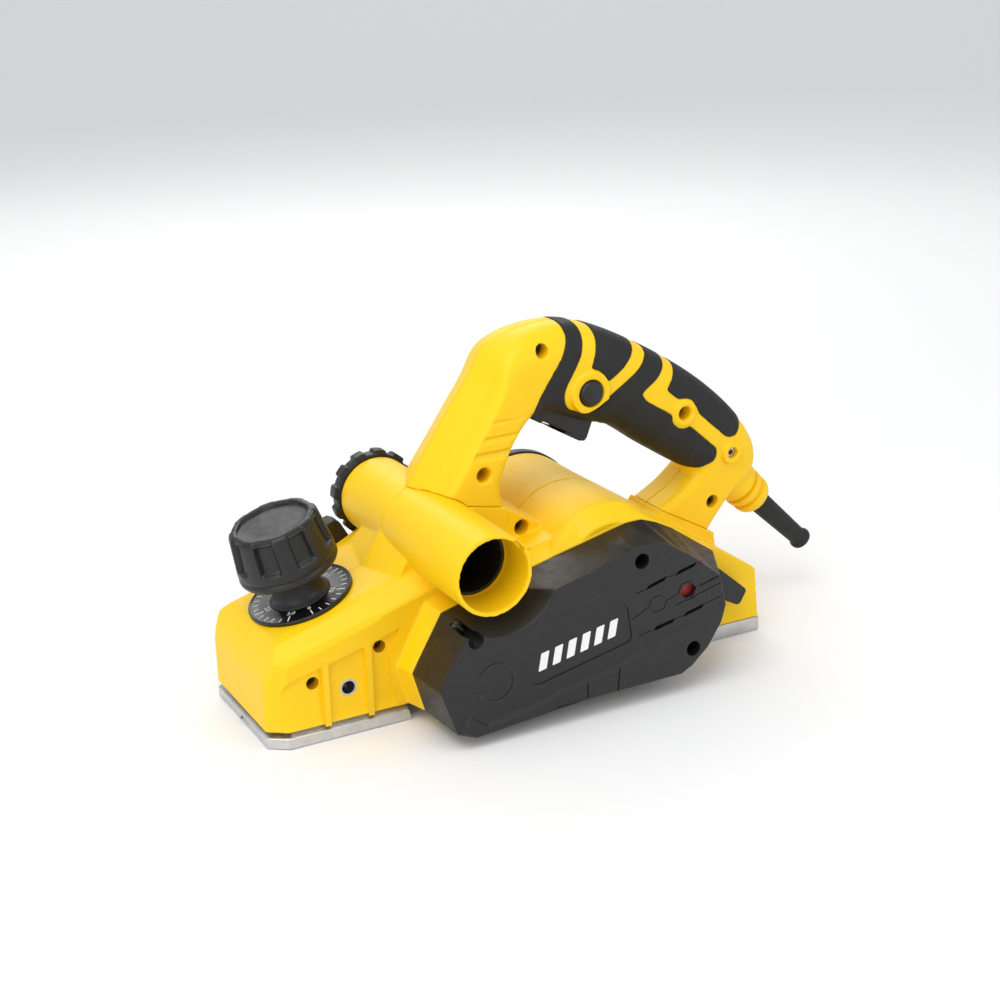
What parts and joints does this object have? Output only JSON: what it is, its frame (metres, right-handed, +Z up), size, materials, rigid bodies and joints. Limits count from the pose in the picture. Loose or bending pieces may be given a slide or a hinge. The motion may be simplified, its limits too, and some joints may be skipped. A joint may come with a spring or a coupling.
{
  "type": "electric hand planer",
  "caption": "Hand-held electric planer with a closed grip, depth knob on a moving front shoe, belt-driven cutter drum and side chip outlet.",
  "frame": {"origin": "middle of the sole's length and width, on the rear shoe's working face", "axes": "+X towards the heel and the cord, -X towards the toe, +Y towards the motor end cap, -Y towards the belt cover, +Z up"},
  "size_m": [0.3519, 0.1486, 0.1831],
  "materials": {
    "yellow_shell": "satin moulded plastic with a fine grain",
    "black_shell": "satin black moulded plastic",
    "soft_grip": "textured soft rubber",
    "shoe_metal": "cast sides, machined sole",
    "knob_plastic": "fine-grained hard plastic",
    "dial": "black with white marks",
    "steel": "turned",
    "dark_steel": "blackened screws",
    "blade_steel": "ground",
    "drum_metal": "machined",
    "belt_rubber": "ribbed",
    "pulley_plastic": "glass-filled",
    "motor_iron": "stacked sheets",
    "copper": "copper",
    "fan_plastic": "moulded",
    "carbon": "carbon",
    "brass": "drawn",
    "capacitor_case": "resin case"
  },
  "bodies": {
    "body": {"housing_left": "yellow_shell", "housing_right": "yellow_shell", "handle_left": "yellow_shell", "handle_right": "yellow_shell", "grip_pad_left": "soft_grip", "grip_pad_right": "soft_grip", "belt_cover": "black_shell", "motor_end_cap": "black_shell", "rear_shoe": "shoe_metal", "knob_detent_spring": "steel", "fence_insert": "steel", "drum_bearings": "steel", "drive_belt": "belt_rubber", "motor_bearings": "steel", "stator_core": "motor_iron", "field_coils": "copper", "fan_baffle": "fan_plastic", "brush_holders": "brass", "carbon_brushes": "carbon", "brush_springs": "steel", "power_switch": "fan_plastic", "trigger_pin": "steel", "trigger_spring": "steel", "lock_spring": "steel", "capacitor": "capacitor_case", "cable_clamp": "fan_plastic", "cord_guard": "soft_grip", "foot_pin": "steel", "foot_spring": "steel", "housing_screws": "dark_steel", "handle_screws": "dark_steel", "handle_nuts": "steel", "cover_screws": "dark_steel", "base_screws": "dark_steel"},
    "depth_knob_assembly": {"depth_knob": "knob_plastic", "dial_plate": "dial", "depth_screw": "steel"},
    "front_shoe_assembly": {"front_shoe": "shoe_metal"},
    "cutter": {"cutter_drum": "drum_metal", "drum_shaft": "steel", "blades": "blade_steel", "blade_clamps": "steel", "blade_screws": "dark_steel", "driven_pulley": "pulley_plastic"},
    "armature": {"armature_shaft": "steel", "armature_core": "motor_iron", "commutator": "copper", "cooling_fan": "fan_plastic", "drive_pulley": "drum_metal"},
    "chip_selector": {"chip_sleeve": "black_shell", "chip_selector_cap": "black_shell"},
    "switch_trigger": {"trigger": "black_shell"},
    "switch_lock": {"lock_button": "black_shell"},
    "kick_foot": {"parking_foot": "black_shell"},
    "rebate_stop": {"depth_stop": "black_shell"},
    "rebate_stop_clamp": {"depth_stop_knob": "knob_plastic"}
  },
  "joints": [
    {"name": "depth_knob_turn", "type": "hinge", "parent": "body", "child": "depth_knob_assembly", "pos_m": [-0.1084, 0, 0.0608], "axis": [0.2823, 0, -0.9593], "range_deg": [0, 330]},
    {"name": "front_shoe_lift", "type": "slide", "parent": "body", "child": "front_shoe_assembly", "axis": [-0.2823, 0, 0.9593], "range_m": [0, 0.003]},
    {"name": "cutter_spin", "type": "hinge", "parent": "body", "child": "cutter", "pos_m": [-0.044, 0, 0.029], "axis": [0, 1, 0], "continuous": true},
    {"name": "armature_spin", "type": "hinge", "parent": "body", "child": "armature", "pos_m": [0.043, 0, 0.058], "axis": [0, 1, 0], "continuous": true},
    {"name": "chip_side_select", "type": "hinge", "parent": "body", "child": "chip_selector", "pos_m": [-0.0423, 0, 0.0872], "axis": [0, 1, 0], "range_deg": [0, 180]},
    {"name": "trigger_pull", "type": "hinge", "parent": "body", "child": "switch_trigger", "pos_m": [0.022, 0, 0.143], "axis": [0, -1, 0], "range_deg": [0, 7], "stiffness_Nm_per_rad": 0.4, "springref_deg": -5.73, "deforming": ["trigger_spring"]},
    {"name": "lock_press", "type": "slide", "parent": "body", "child": "switch_lock", "axis": [0, 1, 0], "range_m": [0, 0.0024], "stiffness_N_per_m": 400, "springref_m": -0.002, "deforming": ["lock_spring"]},
    {"name": "foot_swing", "type": "hinge", "parent": "body", "child": "kick_foot", "pos_m": [0.078, 0, 0.042], "axis": [0, 1, 0], "range_deg": [0, 70]},
    {"name": "rebate_stop_slide", "type": "slide", "parent": "body", "child": "rebate_stop", "axis": [0, 0, -1], "range_m": [0, 0.0145]},
    {"name": "stop_clamp_turn", "type": "hinge", "parent": "body", "child": "rebate_stop_clamp", "pos_m": [-0.062, 0, 0.04], "axis": [0, 1, 0], "range_deg": [0, 180]}
  ],
  "couplings": [
    {"joint": "front_shoe_lift", "follows": "depth_knob_turn", "m_per_rad": 0.00052085},
    {"joint": "armature_spin", "follows": "cutter_spin", "ratio": 1.7273}
  ]
}
